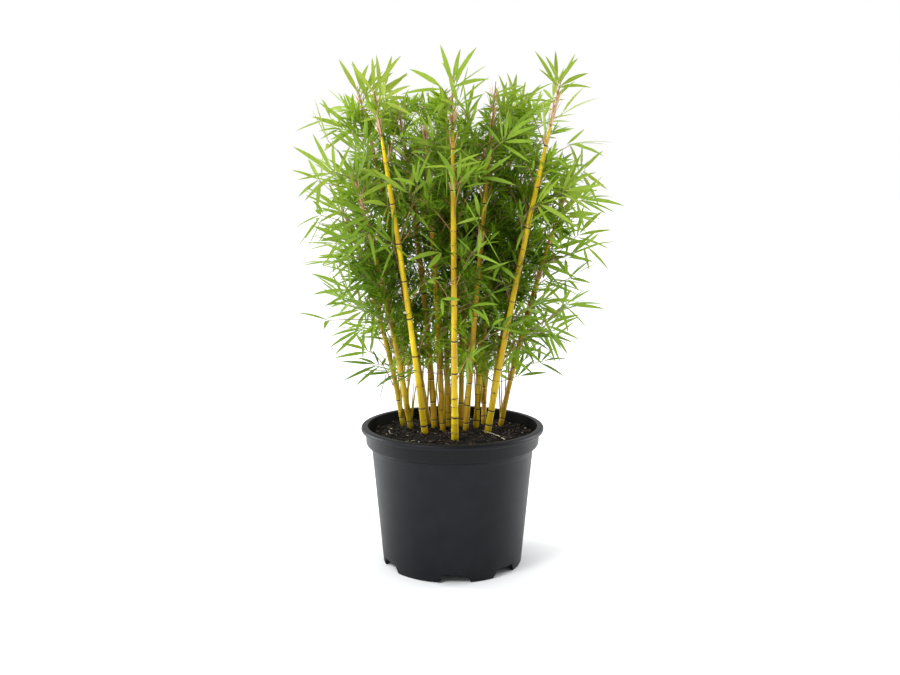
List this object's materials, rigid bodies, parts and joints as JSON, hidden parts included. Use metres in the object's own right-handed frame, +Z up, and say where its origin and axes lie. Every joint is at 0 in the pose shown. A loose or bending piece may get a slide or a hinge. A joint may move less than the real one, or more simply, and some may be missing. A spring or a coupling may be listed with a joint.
{
  "type": "potted bamboo",
  "caption": "Clump of slender golden bamboo canes with upright leafy sprays, in a round tapered black nursery pot filled with potting soil.",
  "frame": {"origin": "middle of the pot's flat underside, on the ground", "axes": "+Z up, the front of the plant towards -Y, +X to the right as seen from the front"},
  "size_m": [0.5041, 0.4433, 0.831],
  "materials": {
    "pot": "satin",
    "soil": "matte",
    "cane": "satin",
    "foliage": "satin"
  },
  "bodies": {
    "root": {"pot": "pot", "soil": "soil", "cane_01": "cane", "cane_02": "cane", "cane_03": "cane", "cane_04": "cane", "cane_05": "cane", "cane_06": "cane", "cane_07": "cane", "cane_08": "cane", "cane_09": "cane", "cane_10": "cane", "cane_11": "cane", "cane_12": "cane", "cane_13": "cane", "cane_14": "cane", "cane_15": "cane", "cane_01_high_foliage": "foliage", "cane_01_low_foliage": "foliage", "cane_01_middle_foliage": "foliage", "cane_01_tip_foliage": "foliage", "cane_02_high_foliage": "foliage", "cane_02_low_foliage": "foliage", "cane_02_tip_foliage": "foliage", "cane_03_high_foliage": "foliage", "cane_03_low_foliage": "foliage", "cane_03_tip_foliage": "foliage", "cane_04_low_foliage": "foliage", "cane_04_tip_foliage": "foliage", "cane_05_low_foliage": "foliage", "cane_05_tip_foliage": "foliage", "cane_06_low_foliage": "foliage", "cane_06_tip_foliage": "foliage", "cane_07_low_foliage": "foliage", "cane_07_tip_foliage": "foliage", "cane_08_high_foliage": "foliage", "cane_08_low_foliage": "foliage", "cane_08_middle_foliage": "foliage", "cane_08_tip_foliage": "foliage", "cane_09_tip_foliage": "foliage", "cane_10_tip_foliage": "foliage", "cane_11_low_foliage": "foliage", "cane_11_tip_foliage": "foliage", "cane_12_high_foliage": "foliage", "cane_12_low_foliage": "foliage", "cane_12_middle_foliage": "foliage", "cane_12_tip_foliage": "foliage", "cane_13_low_foliage": "foliage", "cane_13_tip_foliage": "foliage", "cane_14_high_foliage": "foliage", "cane_14_low_foliage": "foliage", "cane_14_middle_foliage": "foliage", "cane_14_tip_foliage": "foliage", "cane_15_high_foliage": "foliage", "cane_15_low_foliage": "foliage", "cane_15_middle_foliage": "foliage", "cane_15_tip_foliage": "foliage"}
  },
  "joints": []
}
